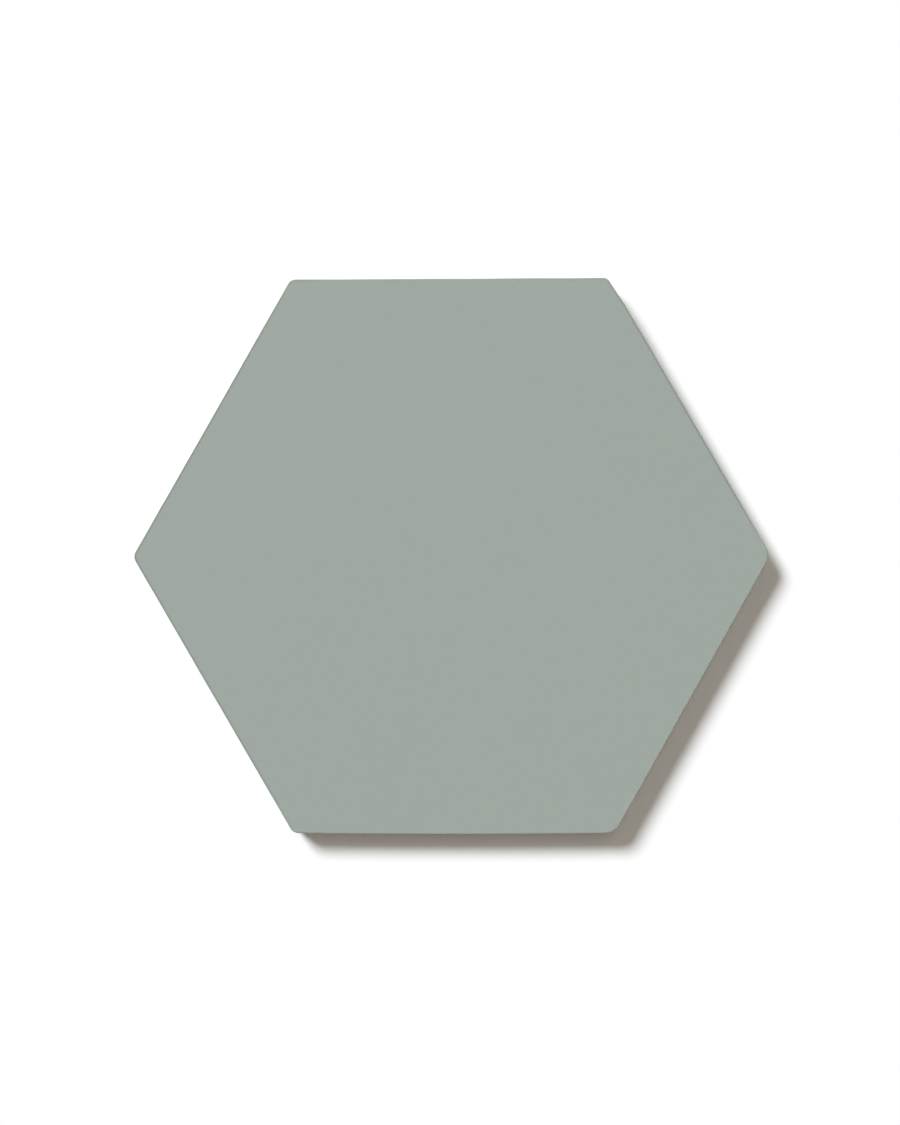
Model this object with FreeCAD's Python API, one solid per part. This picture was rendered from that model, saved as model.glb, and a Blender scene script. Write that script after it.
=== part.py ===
# Hexagon floor tile: one piece of dry-pressed, unglazed stoneware, coloured right through.
# Millimetres. The tile lies on its back with the wearing face up. +Z points out of the wearing face,
# +X runs through a corner and +Y through the middle of a flat side. The origin is the centre of the
# plane that the back rests on.

import FreeCAD
import Part
import math
import os

# Outline, seen from above
ACROSS_FLATS = 150.0
CORNER_RADIUS = 3.0

# Section through the edge, from the wearing face down to the back
THICKNESS = 9.0
ARRIS_RADIUS = 0.3
JOINT_FACE_HEIGHT = 4.0
FLANK_DRAFT_DEG = 4.0
BACK_BEVEL = 0.7

# Keying relief pressed into the back: a honeycomb of shallow pockets between flat ribs
KEY_WIDTH = 14.0
KEY_DEPTH = 0.8
KEY_DRAFT_DEG = 35.0
KEY_CORNER_RADIUS = 1.5
RIB_WIDTH = 3.5
PLAIN_RIM = 5.0

# How far a pocket's cutter runs out past the back, so that it cuts a clean mouth
CUTTER_OVERRUN = 0.5

SIDES = 6
TURN_DEG = 360.0 / SIDES
HALF_TURN = math.radians(TURN_DEG / 2)
TILE_CORNER_DEG = 0.0
POCKET_CORNER_DEG = TURN_DEG / 2


def polar(radius, angle_deg, height=0.0):
    """The point at that distance from the Z axis, in that direction from +X."""
    angle = math.radians(angle_deg)
    return FreeCAD.Vector(radius * math.cos(angle), radius * math.sin(angle), height)


def tile_outline(inset, height):
    """The tile's outline, drawn in all round by inset: six straight sides joined by tangent arcs."""
    arc_radius = CORNER_RADIUS - inset
    arc_centre_reach = (ACROSS_FLATS / 2 - CORNER_RADIUS) / math.cos(HALF_TURN)
    edges = []
    for side in range(SIDES):
        corner_deg = TILE_CORNER_DEG + side * TURN_DEG
        side_normal_deg = corner_deg + TURN_DEG / 2
        arc_centre = polar(arc_centre_reach, corner_deg, height)
        next_arc_centre = polar(arc_centre_reach, corner_deg + TURN_DEG, height)
        arc_start = arc_centre + polar(arc_radius, side_normal_deg - TURN_DEG)
        arc_middle = arc_centre + polar(arc_radius, corner_deg)
        arc_end = arc_centre + polar(arc_radius, side_normal_deg)
        next_arc_start = next_arc_centre + polar(arc_radius, side_normal_deg)
        edges.append(Part.Arc(arc_start, arc_middle, arc_end).toShape())
        edges.append(Part.LineSegment(arc_end, next_arc_start).toShape())
    return Part.Wire(edges)


def joint_face_foot():
    """The height at which the upright joint face gives way to the drafted flank."""
    return THICKNESS - ARRIS_RADIUS - JOINT_FACE_HEIGHT


def flank_inset():
    """How far the drafted flank has come in where it meets the bevel round the back."""
    return (joint_face_foot() - BACK_BEVEL) * math.tan(math.radians(FLANK_DRAFT_DEG))


def back_apothem():
    """From the centre to the flat sides of the back, inside its bevel."""
    return ACROSS_FLATS / 2 - flank_inset() - BACK_BEVEL


def edge_section():
    """Inset and height at each change of slope, from the back up to the wearing face."""
    return [
        (flank_inset() + BACK_BEVEL, 0.0),
        (flank_inset(), BACK_BEVEL),
        (0.0, joint_face_foot()),
        (0.0, THICKNESS),
    ]


def pressed_body():
    """The plain tile: bevel, drafted flank and upright joint face all round, with a rounded arris on top."""
    outlines = [tile_outline(inset, height) for inset, height in edge_section()]
    body = Part.makeLoft(outlines, True, True)
    arris = [edge for edge in body.Edges if edge.BoundBox.ZMin > THICKNESS - ARRIS_RADIUS / 2]
    return body.makeFillet(ARRIS_RADIUS, arris)


def pocket_outline(apothem, height):
    """The six sharp corners of a pocket whose sides are at that distance from its axis."""
    corner_reach = apothem / math.cos(HALF_TURN)
    return [polar(corner_reach, POCKET_CORNER_DEG + side * TURN_DEG, height) for side in range(SIDES)]


def flat_face(corners):
    """The flat face with those corners."""
    return Part.Face(Part.makePolygon(corners + corners[:1]))


def key_pocket():
    """The cutter for one pocket, on the Z axis: its walls lean in from the mouth to the flat floor."""
    lean = math.tan(math.radians(KEY_DRAFT_DEG))
    mouth = pocket_outline(KEY_WIDTH / 2 + CUTTER_OVERRUN * lean, -CUTTER_OVERRUN)
    floor = pocket_outline(KEY_WIDTH / 2 - KEY_DEPTH * lean, KEY_DEPTH)
    faces = [flat_face(mouth), flat_face(floor)]
    for side in range(SIDES):
        following = (side + 1) % SIDES
        faces.append(flat_face([mouth[side], mouth[following], floor[following], floor[side]]))
    shell = Part.makeShell(faces)
    shell.sewShape()
    cutter = Part.Solid(shell)
    corner_edges = [edge for edge in cutter.Edges if edge.BoundBox.ZLength > KEY_DEPTH / 2]
    return cutter.makeFillet(KEY_CORNER_RADIUS, corner_edges)


def pocket_centres():
    """The centres of a full hexagonal honeycomb, as many rings as leave the plain rim clear."""
    pitch = KEY_WIDTH + RIB_WIDTH
    row_pitch = pitch * math.cos(HALF_TURN)
    pocket_reach = (KEY_WIDTH / 2 - KEY_CORNER_RADIUS) / math.cos(HALF_TURN) + KEY_CORNER_RADIUS
    rings = int((back_apothem() - PLAIN_RIM - pocket_reach) / row_pitch)
    centres = []
    for row in range(-rings, rings + 1):
        in_row = 2 * rings + 1 - abs(row)
        for place in range(in_row):
            x = (place - (in_row - 1) / 2) * pitch
            centres.append(FreeCAD.Vector(x, row * row_pitch, 0.0))
    return centres


def hexagon_tile():
    """The whole tile: the pressed body with the keying pockets taken out of its back."""
    pocket = key_pocket()
    pockets = [pocket.translated(centre) for centre in pocket_centres()]
    return pressed_body().cut(pockets)


def main():
    os.makedirs("parts", exist_ok=True)
    tile = hexagon_tile()
    tile.exportStep("parts/hexagon_tile.step")
    print("pockets", len(pocket_centres()), "volume", round(tile.Volume), "mm3, valid", tile.isValid())


main()
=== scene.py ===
import math

import bmesh
import bpy
from mathutils import Matrix, Vector, noise


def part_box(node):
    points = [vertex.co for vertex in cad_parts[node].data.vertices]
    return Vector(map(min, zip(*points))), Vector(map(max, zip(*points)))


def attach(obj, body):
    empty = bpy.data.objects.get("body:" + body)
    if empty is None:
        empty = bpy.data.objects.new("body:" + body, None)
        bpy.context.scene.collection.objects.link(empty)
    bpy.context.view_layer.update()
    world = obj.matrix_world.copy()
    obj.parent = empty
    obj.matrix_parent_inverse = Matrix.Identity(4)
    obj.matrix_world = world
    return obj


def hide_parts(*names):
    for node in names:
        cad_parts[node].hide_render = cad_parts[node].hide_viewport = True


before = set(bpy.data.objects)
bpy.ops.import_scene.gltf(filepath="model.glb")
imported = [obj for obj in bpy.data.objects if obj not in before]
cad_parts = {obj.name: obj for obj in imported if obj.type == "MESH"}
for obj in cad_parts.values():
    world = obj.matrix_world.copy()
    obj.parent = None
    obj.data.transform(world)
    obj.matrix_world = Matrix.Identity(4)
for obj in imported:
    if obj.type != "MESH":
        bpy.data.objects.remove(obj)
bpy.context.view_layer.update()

MM = 0.001

# The pressed section and the relief of the back, as in the solid
TILE_LOW, TILE_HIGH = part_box("hexagon_tile")
ACROSS_FLATS = TILE_HIGH.y - TILE_LOW.y
THICKNESS = TILE_HIGH.z - TILE_LOW.z
ARRIS_RADIUS = 0.3 * MM
JOINT_FACE_HEIGHT = 4.0 * MM
FLANK_DRAFT = math.radians(4)
BACK_BEVEL = 0.7 * MM
KEY_WIDTH = 14.0 * MM
KEY_DEPTH = 0.8 * MM
KEY_DRAFT = math.radians(35)
KEY_CORNER_RADIUS = 1.5 * MM
RIB_WIDTH = 3.5 * MM
KEY_RINGS = 4

SIDES = 6
HALF_TURN = math.pi / SIDES
ARRIS_FOOT = THICKNESS - ARRIS_RADIUS
PARTING_HEIGHT = ARRIS_FOOT - JOINT_FACE_HEIGHT

# How firing left each corner, counter-clockwise from +X: its shift along X and Y and its radius, in mm
CORNERS = (
    (-0.06, 0.10, 4.3),
    (-0.50, 0.18, 1.7),
    (-0.31, -0.29, 2.3),
    (0.22, -0.41, 2.4),
    (0.36, -0.35, 2.5),
    (1.02, -0.35, 4.3),
)
CORNER_STEPS = 8

# How far the sides stray from straight: all waver, the south one bows out and one corner is worn.
# Past that share of the half width, a point lies on the south side.
SIDE_CUTS = 30
SIDE_WANDER = 0.05 * MM
SIDE_WANDER_LENGTH = 9.0 * MM
SOUTH_SIDE_BOW = 0.30 * MM
SOUTH_SIDE_REACH = 0.98
WORN_LENGTH = 8.5 * MM
WORN_DEPTH = 0.59 * MM

# How much each side's arris is painted darker or lighter, counter-clockwise from the north-east one. Above
# 0 a brownish painted shade darkens it; below 0 painted light lifts it where the lamp leaves it in shade.
# The blend sets how sharply that changes round a corner, and the start is the share of the arris's height
# that stays unpainted.
ARRIS_PAINTED_SHADING = (0.23, 0.06, 0.38, 0.29, -0.15, -0.45)
# The colour of the painted shade on the arris
PAINTED_SHADE_COLOUR = (0.105, 0.022, 0.043)
ARRIS_SHADING_BLEND = 16.0
ARRIS_SHADING_START = 0.3
ARRIS_BAND = 0.4 * MM

# Edges that the press and the fettling brush leave soft
ARRIS_STEPS = 5
SIDE_SOFTNESS = 0.15 * MM
KEY_CORNER_STEPS = 4
KEY_EDGE_SOFTNESS = 0.22 * MM
KEY_EDGE_TURN = math.radians(30)
SOFT_STEPS = 2
MERGE_DISTANCE = 0.01 * MM

# The fired body: its colour, and the size of each mark with what it does to the tone and the height
BODY_COLOUR = (0.334, 0.3826, 0.3431)
BODY_ROUGHNESS = 0.74
BODY_SPECULAR = 0.2
FIRING_SIZE = 30 * MM
FIRING_TONE = 0.006
PEEL_SIZE = 2.4 * MM
PEEL_HEIGHT = 0.012 * MM
PEEL_ROUGHNESS = 0.04
GRANULE_SIZE = 0.38 * MM
GRANULE_TONE = 0.012
GRANULE_HEIGHT = 0.003 * MM
GRAIN_SIZE = 0.16 * MM
GRAIN_TONE = 0.05
GRAIN_HEIGHT = 0.005 * MM
GRAIN_ROUGHNESS = 0.05
DARK_SPECK_SPACING = 2.2 * MM
DARK_SPECK_RADIUS = 0.15 * MM
DARK_SPECK_TONE = 0.12
PALE_SPECK_SPACING = 1.7 * MM
PALE_SPECK_RADIUS = 0.18 * MM
PALE_SPECK_TONE = 0.06
PINHOLE_SPACING = 3.1 * MM
PINHOLE_RADIUS = 0.15 * MM
PINHOLE_TONE = 0.2
PINHOLE_DEPTH = 0.04 * MM
SPECK_CORE = 0.6

# The sides: upright marks that the die leaves all the way down, and a sandier flank below the parting line
DIE_DRAG_WIDTH = 0.6 * MM
DIE_DRAG_LENGTH = 14 * MM
DIE_DRAG_TONE = 0.11
DIE_DRAG_HEIGHT = 0.02 * MM
JOINT_FACE_TONE = 0.02
JOINT_FACE_FADE = 0.1 * MM
SAND_SIZE = 0.9 * MM
SAND_TONE = 0.12
SAND_HEIGHT = 0.03 * MM
FLANK_TONE = 0.05
FLANK_ROUGHNESS = 0.08
FLANK_START = 0.2 * MM
FLANK_FULL = 0.3 * MM

# The pale kiln wash that the back picks up: thick where it stood on the batt and thin in the pockets
KILN_WASH = (0.56, 0.55, 0.51)
WASH_COVER = 0.8
WASH_IN_POCKETS = 0.2
WASH_CREEP = 0.3 * MM
BATT_CONTACT = 0.02 * MM
BATT_CLEAR = 0.15 * MM
PATCH_LENGTH = 14 * MM
PATCH_WIDTH = 6 * MM
PATCH_WEIGHT = 0.6
PATCH_SAND_WEIGHT = 0.5
PATCH_START = -0.45
PATCH_FULL = 0.5

# The photograph's frame, where the tile lies in it, and how far each lamp throws its shadow
PHOTO_WIDTH_PX = 900
PHOTO_HEIGHT_PX = 1125
TILE_CENTRE_PX = (451.4, 555.1)
ACROSS_FLATS_PX = 553.4
KEY_SHADOW_PX = (22.5, 23.9)
FILL_SHADOW_PX = (-3.5, 12.0)
METRES_PER_PX = ACROSS_FLATS / ACROSS_FLATS_PX
LENS_MM = 70.0

# Shares of a level face's light: from all round, and from the weak lamp. The strong lamp gives the rest.
SKY_LIGHT = (0.189, 0.150, 0.120)
FILL_LIGHT = (0.060, 0.065, 0.055)
LAMP_WIDTH = math.radians(18.5)

FLOOR_WHITE = 0.95
FLOOR_LIFT = 0.055
FLOOR_SIZE = 6.0
FLOOR_GAP = 0.01 * MM


class Wire:
    """A node's output that arithmetic can be written with."""

    def __init__(self, finish, socket):
        self.finish = finish
        self.socket = socket

    def maths(self, operation, *values):
        return self.finish.node("ShaderNodeMath", {"operation": operation}, dict(enumerate(values)))

    def __add__(self, other):
        return self.maths("ADD", self, other)

    def __radd__(self, other):
        return self.maths("ADD", other, self)

    def __sub__(self, other):
        return self.maths("SUBTRACT", self, other)

    def __rsub__(self, other):
        return self.maths("SUBTRACT", other, self)

    def __mul__(self, other):
        return self.maths("MULTIPLY", self, other)

    def __rmul__(self, other):
        return self.maths("MULTIPLY", other, self)

    def most(self, other):
        return self.maths("MAXIMUM", self, other)

    def rise(self, low, high):
        """0 below low and 1 above high, with an eased step between them."""
        settings = {"interpolation_type": "SMOOTHSTEP"}
        sockets = {"Value": self, "From Min": low, "From Max": high}
        return self.finish.node("ShaderNodeMapRange", settings, sockets)


class Finish:
    """The nodes of a material or a world."""

    def __init__(self, owner):
        owner.use_nodes = True
        self.tree = owner.node_tree
        self.tree.nodes.clear()

    def node(self, kind, settings=None, sockets=None, output=0):
        """Adds a node, sets it, fills its sockets with values or links, and gives one of its outputs."""
        node = self.tree.nodes.new(kind)
        for name, value in (settings or {}).items():
            setattr(node, name, value)
        for name, value in (sockets or {}).items():
            if isinstance(value, Wire):
                self.tree.links.new(value.socket, node.inputs[name])
            else:
                node.inputs[name].default_value = value
        return Wire(self, node.outputs[output]) if node.outputs else None

    def mix(self, share, first, second):
        """The first colour where share is 0 and the second where it is 1."""
        return self.node("ShaderNodeMix", {"data_type": "RGBA"}, {0: share, 6: first, 7: second}, 2)

    def shade(self, colour, tone):
        """The colour made lighter or darker by that factor."""
        sockets = {"Vector": colour, "Scale": tone}
        return self.node("ShaderNodeVectorMath", {"operation": "SCALE"}, sockets)

    def stretched(self, place, x, y, z):
        """The place in other units along each axis, which draws a pattern out along the larger ones."""
        sockets = {"Vector": place, "Scale": (1 / x, 1 / y, 1 / z)}
        return self.node("ShaderNodeMapping", None, sockets)

    def clouds(self, place, size, detail=2.0, roughness=0.5):
        """Noise from about -1 to 1 whose blotches are about that size."""
        sockets = {"Vector": place, "Scale": 1 / size, "Detail": detail, "Roughness": roughness}
        return 2 * self.node("ShaderNodeTexNoise", None, sockets) - 1

    def cells(self, place, size, output):
        """A pattern of cells of about that size, each round a point of its own."""
        return self.node("ShaderNodeTexVoronoi", None, {"Vector": place, "Scale": 1 / size}, output)

    def specks(self, place, spacing, radius):
        """1 inside round grains of that radius, strewn through the body at that spacing."""
        distance = self.cells(place, spacing, "Distance")
        return 1 - distance.rise(radius / spacing * SPECK_CORE, radius / spacing)

    def granules(self, place, size):
        """One number from -1 to 1 for each of the pressed powder's granules of that size."""
        colour = self.cells(place, size, "Color")
        return 2 * self.node("ShaderNodeSeparateColor", None, {"Color": colour}, "Red") - 1


def paint(rgb):
    return (*rgb, 1.0)


def as_mesh(shape, name):
    mesh = bpy.data.meshes.new(name)
    shape.to_mesh(mesh)
    shape.free()
    return mesh


def add_object(name, data):
    holder = bpy.data.objects.new(name, data)
    bpy.context.scene.collection.objects.link(holder)
    return holder


def corner_reach(apothem):
    """From the middle of a hexagon to its sharp corners."""
    return apothem / math.cos(HALF_TURN)


def hexagon(shape, apothem, matrix):
    """A flat hexagon with its first corner at +Y, and its corners counter-clockwise from there."""
    reach = corner_reach(apothem)
    ring = bmesh.ops.create_circle(shape, cap_ends=True, segments=SIDES, radius=reach, matrix=matrix)
    return ring["verts"]


def soften(shape, edges, width, steps):
    bmesh.ops.bevel(
        shape, geom=edges, affect="EDGES", offset=width,
        segments=steps, profile=0.5, material=-1, clamp_overlap=True,
    )


def step_in(shape, face, inset, rise):
    """Draws the face in all round and moves it along its normal, leaving a ring of sloping walls."""
    bmesh.ops.inset_region(
        shape, faces=[face], thickness=inset, depth=rise, use_boundary=True, use_even_offset=True
    )


def round_corners(shape, corners):
    """Rounds each corner of the flat outline by its own radius."""
    for vertex, (_, _, radius) in zip(corners, CORNERS):
        tangent = radius * MM * math.tan(HALF_TURN)
        bmesh.ops.bevel(
            shape, geom=[vertex], affect="VERTICES", offset=tangent,
            segments=CORNER_STEPS, profile=0.5, material=-1,
        )


def let_sides_wander(shape):
    """Leaves no side quite straight: the south one bows out, and all of them waver a little."""
    half_side = ACROSS_FLATS / 2 * math.tan(HALF_TURN)
    for vertex in shape.verts:
        x, y, _ = vertex.co
        outward = Vector((x, y, 0))
        vertex.co += outward.normalized() * noise.noise(outward / SIDE_WANDER_LENGTH) * SIDE_WANDER
        if y < -ACROSS_FLATS / 2 * SOUTH_SIDE_REACH:
            vertex.co.y -= SOUTH_SIDE_BOW * max(0, 1 - (x / half_side) ** 2)


def wear_corner(corner, side):
    """Knocks the corner in along X, from a point on the side that stays where it is."""
    bmesh.utils.edge_split(side, corner, WORN_LENGTH / side.calc_length())
    corner.co.x -= WORN_DEPTH


def fired_outline(shape):
    """The tile's outline as one face at the height of the parting line, looking up."""
    first_corner_at_x = Matrix.Rotation(-math.pi / 2, 4, "Z")
    lift = Matrix.Translation((0, 0, PARTING_HEIGHT))
    corners = hexagon(shape, ACROSS_FLATS / 2, lift @ first_corner_at_x)
    for vertex, (off_x, off_y, _) in zip(corners, CORNERS):
        vertex.co += Vector((off_x, off_y, 0)) * MM
    east, north_east = corners[:2]
    wear_corner(north_east, shape.edges.get((east, north_east)))
    round_corners(shape, corners)
    sides = [edge for edge in shape.edges if edge.calc_length() > ACROSS_FLATS / 4]
    bmesh.ops.subdivide_edges(shape, edges=sides, cuts=SIDE_CUTS)
    let_sides_wander(shape)
    return shape.faces[:][0]


def arris_painted_shading(place):
    """The painted shade or painted light on the arris there, which passes smoothly from side to side round
    each corner.
    """
    turn = math.atan2(place.y, place.x)
    shares = [
        math.exp(ARRIS_SHADING_BLEND * math.cos(turn - (2 * side + 1) * HALF_TURN))
        for side in range(SIDES)
    ]
    return sum(share * painted_shading for share, painted_shading in zip(shares, ARRIS_PAINTED_SHADING)) / sum(shares)


def mark_arris(shape, wearing_face):
    """Stores the painted shade and painted light of the arris. On the wearing face only the painted shade
    is kept, and it fades out inwards.
    """
    painted_shading = shape.verts.layers.float.new("arris_painted_shading")
    for vertex in shape.verts:
        if vertex.co.z > ARRIS_FOOT + ARRIS_RADIUS * ARRIS_SHADING_START:
            vertex[painted_shading] = arris_painted_shading(vertex.co)
    for vertex in wearing_face.verts:
        vertex[painted_shading] = max(0.0, vertex[painted_shading])
    step_in(shape, wearing_face, ARRIS_BAND, 0)
    for vertex in wearing_face.verts:
        vertex[painted_shading] = 0.0


def pressed_blank():
    """The plain tile: joint face and arris above the parting line, drafted flank and bevel below it."""
    shape = bmesh.new()
    outline = fired_outline(shape)
    raised = bmesh.ops.extrude_face_region(shape, geom=[outline])
    upper = [item for item in raised["geom"] if isinstance(item, bmesh.types.BMVert)]
    bmesh.ops.translate(shape, verts=upper, vec=(0, 0, THICKNESS - PARTING_HEIGHT))
    shape.normal_update()
    wearing_face = max(shape.faces, key=lambda face: face.normal.z)
    back = min(shape.faces, key=lambda face: face.normal.z)
    turns = list(back.edges)
    flank_height = PARTING_HEIGHT - BACK_BEVEL
    step_in(shape, back, flank_height * math.tan(FLANK_DRAFT), flank_height)
    turns += list(back.edges)
    step_in(shape, back, BACK_BEVEL, BACK_BEVEL)
    turns += list(back.edges)
    soften(shape, turns, SIDE_SOFTNESS, SOFT_STEPS)
    soften(shape, list(wearing_face.edges), ARRIS_RADIUS, ARRIS_STEPS)
    mark_arris(shape, max(shape.faces, key=lambda face: face.calc_area() * face.normal.z))
    return shape


def key_centres():
    """The middles of the pockets: a full honeycomb round the tile's centre."""
    pitch = KEY_WIDTH + RIB_WIDTH
    for row in range(-KEY_RINGS, KEY_RINGS + 1):
        in_row = 2 * KEY_RINGS + 1 - abs(row)
        for place in range(in_row):
            yield Vector(((place - (in_row - 1) / 2) * pitch, row * pitch * math.cos(HALF_TURN), 0))


def key_cells(shape):
    """A honeycomb of touching six-sided faces that look down, one for each pocket."""
    face_down = Matrix.Rotation(math.pi, 4, "X")
    cells = []
    for centre in key_centres():
        corners = hexagon(shape, (KEY_WIDTH + RIB_WIDTH) / 2, Matrix.Translation(centre) @ face_down)
        cells += corners[0].link_faces
    bmesh.ops.remove_doubles(shape, verts=shape.verts[:], dist=MERGE_DISTANCE)
    return cells


def drop(edge):
    """How far an edge climbs from end to end."""
    return abs(edge.verts[0].co.z - edge.verts[1].co.z)


def back_relief():
    """The honeycomb of the back, with a drafted, round-cornered pocket in each cell."""
    shape = bmesh.new()
    cells = key_cells(shape)
    bmesh.ops.inset_individual(shape, faces=cells, thickness=RIB_WIDTH / 2, use_even_offset=True)
    wall_run = KEY_DEPTH * math.tan(KEY_DRAFT)
    bmesh.ops.inset_individual(
        shape, faces=cells, thickness=wall_run, depth=-KEY_DEPTH, use_even_offset=True
    )
    wall_corners = [edge for edge in shape.edges if drop(edge) > KEY_DEPTH / 2]
    soften(shape, wall_corners, KEY_CORNER_RADIUS * math.tan(HALF_TURN), KEY_CORNER_STEPS)
    shape.normal_update()
    mouths_and_floors = [
        edge for edge in shape.edges
        if drop(edge) < KEY_DEPTH / 2 and not edge.is_boundary and edge.calc_face_angle() > KEY_EDGE_TURN
    ]
    soften(shape, mouths_and_floors, KEY_EDGE_SOFTNESS, SOFT_STEPS)
    return shape


def join_back(shape):
    """Fills the plain rim between the honeycomb's zigzag edge and the bevel round the back."""
    shape.normal_update()
    blank_back = min(shape.faces, key=lambda face: face.calc_area() * face.normal.z)
    bmesh.ops.delete(shape, geom=[blank_back], context="FACES_ONLY")
    rims = [edge for edge in shape.edges if edge.is_boundary]
    bmesh.ops.triangle_fill(shape, use_beauty=True, use_dissolve=False, edges=rims, normal=(0, 0, -1))


def make_tile():
    shape = pressed_blank()
    relief = as_mesh(back_relief(), "back_relief")
    shape.from_mesh(relief)
    bpy.data.meshes.remove(relief)
    join_back(shape)
    for face in shape.faces:
        face.smooth = True
    triangles = sum(len(face.verts) - 2 for face in shape.faces)
    open_edges = sum(1 for edge in shape.edges if not edge.is_contiguous)
    print("tile: triangles", triangles, "edges that are open or turned", open_edges)
    tile = add_object("fired_tile", as_mesh(shape, "fired_tile"))
    shading = tile.modifiers.new("even_shading", "WEIGHTED_NORMAL")
    shading.mode = "FACE_AREA"
    shading.weight = 100
    return tile


def stoneware():
    """Unglazed stoneware, coloured right through, as the die and the kiln leave its faces, with painted
    shade and painted light on its arris.
    """
    material = bpy.data.materials.new("unglazed_stoneware")
    finish = Finish(material)
    place = finish.node("ShaderNodeTexCoord", output="Object")
    height = finish.node("ShaderNodeSeparateXYZ", None, {"Vector": place}, "Z")
    # The arris's painted shade (above 0) and painted light (below 0), read from the mesh
    painted_shading = finish.node("ShaderNodeAttribute", {"attribute_name": "arris_painted_shading"}, output="Fac")
    painted_light = (0 - painted_shading).most(0)

    below_arris = 1 - height.rise(ARRIS_FOOT - JOINT_FACE_FADE, ARRIS_FOOT + JOINT_FACE_FADE)
    below_parting = 1 - height.rise(PARTING_HEIGHT - FLANK_FULL, PARTING_HEIGHT + FLANK_START)
    back = 1 - height.rise(KEY_DEPTH, KEY_DEPTH + WASH_CREEP)
    stood_on = 1 - height.rise(BATT_CONTACT, BATT_CLEAR)

    firing = finish.clouds(place, FIRING_SIZE)
    peel = finish.clouds(place, PEEL_SIZE, detail=1.0)
    granules = finish.granules(place, GRANULE_SIZE)
    grain = finish.clouds(place, GRAIN_SIZE, roughness=0.6)
    dark_specks = finish.specks(place, DARK_SPECK_SPACING, DARK_SPECK_RADIUS)
    pale_specks = finish.specks(place, PALE_SPECK_SPACING, PALE_SPECK_RADIUS)
    pinholes = finish.specks(place, PINHOLE_SPACING, PINHOLE_RADIUS)
    upright = finish.stretched(place, DIE_DRAG_WIDTH, DIE_DRAG_WIDTH, DIE_DRAG_LENGTH)
    die_drag = finish.clouds(upright, 1.0, detail=3.0, roughness=0.65)
    sand = finish.clouds(place, SAND_SIZE, detail=4.0, roughness=0.65)

    tone = 1 + FIRING_TONE * firing + GRANULE_TONE * granules + GRAIN_TONE * grain
    tone = tone - DARK_SPECK_TONE * dark_specks + PALE_SPECK_TONE * pale_specks - PINHOLE_TONE * pinholes
    # The arris is painted lighter where the lamp leaves it in shade
    tone = tone * (1 + painted_light) * (1 + below_arris * (JOINT_FACE_TONE + DIE_DRAG_TONE * die_drag))
    tone = tone * (1 + below_parting * (FLANK_TONE + SAND_TONE * sand))
    # The arris is painted darker, towards a brownish painted shade
    body = finish.mix(painted_shading, finish.shade(BODY_COLOUR, tone), paint(PAINTED_SHADE_COLOUR))
    across = finish.stretched(place, PATCH_LENGTH, PATCH_WIDTH, PATCH_LENGTH)
    patches = finish.clouds(across, 1.0, detail=5.0, roughness=0.75)
    patchy = (PATCH_WEIGHT * patches + PATCH_SAND_WEIGHT * sand).rise(PATCH_START, PATCH_FULL)
    wash = (WASH_IN_POCKETS + (1 - WASH_IN_POCKETS) * stood_on) * back * patchy * WASH_COVER
    colour = finish.mix(wash, body, paint(KILN_WASH))

    roughness = BODY_ROUGHNESS + GRAIN_ROUGHNESS * grain + PEEL_ROUGHNESS * peel
    roughness = roughness + FLANK_ROUGHNESS * below_parting
    relief = (
        GRAIN_HEIGHT * grain + GRANULE_HEIGHT * granules + PEEL_HEIGHT * peel - PINHOLE_DEPTH * pinholes
        + DIE_DRAG_HEIGHT * below_arris * die_drag + SAND_HEIGHT * below_parting * sand
    )
    bump = finish.node("ShaderNodeBump", None, {"Height": relief, "Strength": 1.0, "Distance": 1.0})
    surface = finish.node(
        "ShaderNodeBsdfPrincipled", None,
        {
            "Base Color": colour, "Roughness": roughness, "Normal": bump,
            "Specular IOR Level": BODY_SPECULAR,
        },
    )
    finish.node("ShaderNodeOutputMaterial", None, {"Surface": surface})
    return material


def seen_directly(finish):
    """1 for rays that the camera, a gloss or a clear body sends, and 0 for those that carry light."""
    rays = [
        finish.node("ShaderNodeLightPath", output=name)
        for name in ("Is Camera Ray", "Is Glossy Ray", "Is Transmission Ray")
    ]
    return rays[0].most(rays[1]).most(rays[2])


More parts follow.
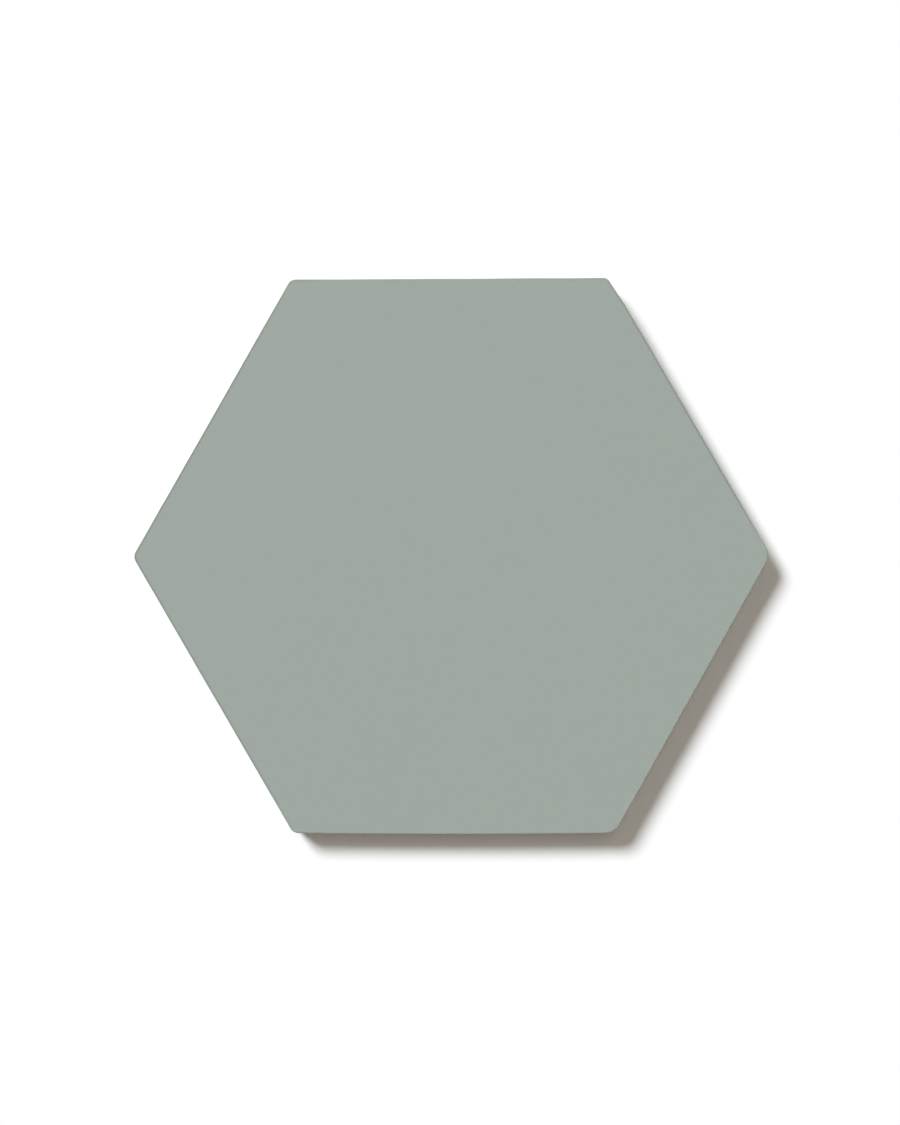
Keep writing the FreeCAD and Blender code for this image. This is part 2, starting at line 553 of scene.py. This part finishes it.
def make_floor():
    """A level floor under the tile, which keeps its shadow and shows as plain white elsewhere."""
    shape = bmesh.new()
    just_below = Matrix.Translation((0, 0, -FLOOR_GAP))
    bmesh.ops.create_grid(shape, x_segments=1, y_segments=1, size=FLOOR_SIZE / 2, matrix=just_below)
    floor = add_object("floor", as_mesh(shape, "floor"))
    material = bpy.data.materials.new("plain_white_floor")
    finish = Finish(material)
    lift = finish.mix(seen_directly(finish), paint((0, 0, 0)), paint((FLOOR_LIFT,) * 3))
    surface = finish.node(
        "ShaderNodeBsdfPrincipled", None,
        {
            "Base Color": paint((FLOOR_WHITE,) * 3), "Roughness": 1.0, "Specular IOR Level": 0.0,
            "Emission Color": lift, "Emission Strength": 1.0,
        },
    )
    finish.node("ShaderNodeOutputMaterial", None, {"Surface": surface})
    floor.data.materials.append(material)
    return floor


def make_lamp(name, shadow_px, light):
    """A broad lamp, as high as throws the tile's shadow that far, that gives a level face that light."""
    shift_x, shift_y = (pixels * METRES_PER_PX for pixels in shadow_px)
    travel = Vector((shift_x, -shift_y, -THICKNESS)).normalized()
    lamp = bpy.data.lights.new(name, "SUN")
    lamp.angle = LAMP_WIDTH
    lamp.energy = math.pi * max(light) / -travel.z
    lamp.color = [channel / max(light) for channel in light]
    add_object(name, lamp).rotation_euler = travel.to_track_quat("-Z", "Y").to_euler()


def make_lamps():
    """A strong lamp from the upper left, and a weak one from behind that softens its shadow."""
    key_light = [1 - sky - fill for sky, fill in zip(SKY_LIGHT, FILL_LIGHT)]
    make_lamp("key_lamp", KEY_SHADOW_PX, key_light)
    make_lamp("fill_lamp", FILL_SHADOW_PX, FILL_LIGHT)


def make_sky():
    """An even, slightly warm light from all round, which itself shows as white."""
    world = bpy.data.worlds.new("studio")
    bpy.context.scene.world = world
    finish = Finish(world)
    colour = finish.mix(seen_directly(finish), paint(SKY_LIGHT), paint((1, 1, 1)))
    sky = finish.node("ShaderNodeBackground", None, {"Color": colour, "Strength": 1.0})
    finish.node("ShaderNodeOutputWorld", None, {"Surface": sky})


def make_camera():
    """Straight above, with +Y up the frame and the tile where the photograph has it."""
    camera = bpy.data.cameras.new("camera")
    camera.lens = LENS_MM
    sensor_per_px = camera.sensor_width * MM / PHOTO_HEIGHT_PX
    distance = METRES_PER_PX / sensor_per_px * LENS_MM * MM
    holder = add_object("camera", camera)
    holder.location = (
        (PHOTO_WIDTH_PX / 2 - TILE_CENTRE_PX[0]) * METRES_PER_PX,
        (TILE_CENTRE_PX[1] - PHOTO_HEIGHT_PX / 2) * METRES_PER_PX,
        THICKNESS + distance,
    )
    bpy.context.scene.camera = holder


tile = make_tile()
tile.data.materials.append(stoneware())
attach(tile, "root")
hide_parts("hexagon_tile")
make_floor()
make_lamps()
make_sky()
make_camera()
bpy.context.scene.view_settings.view_transform = "Standard"
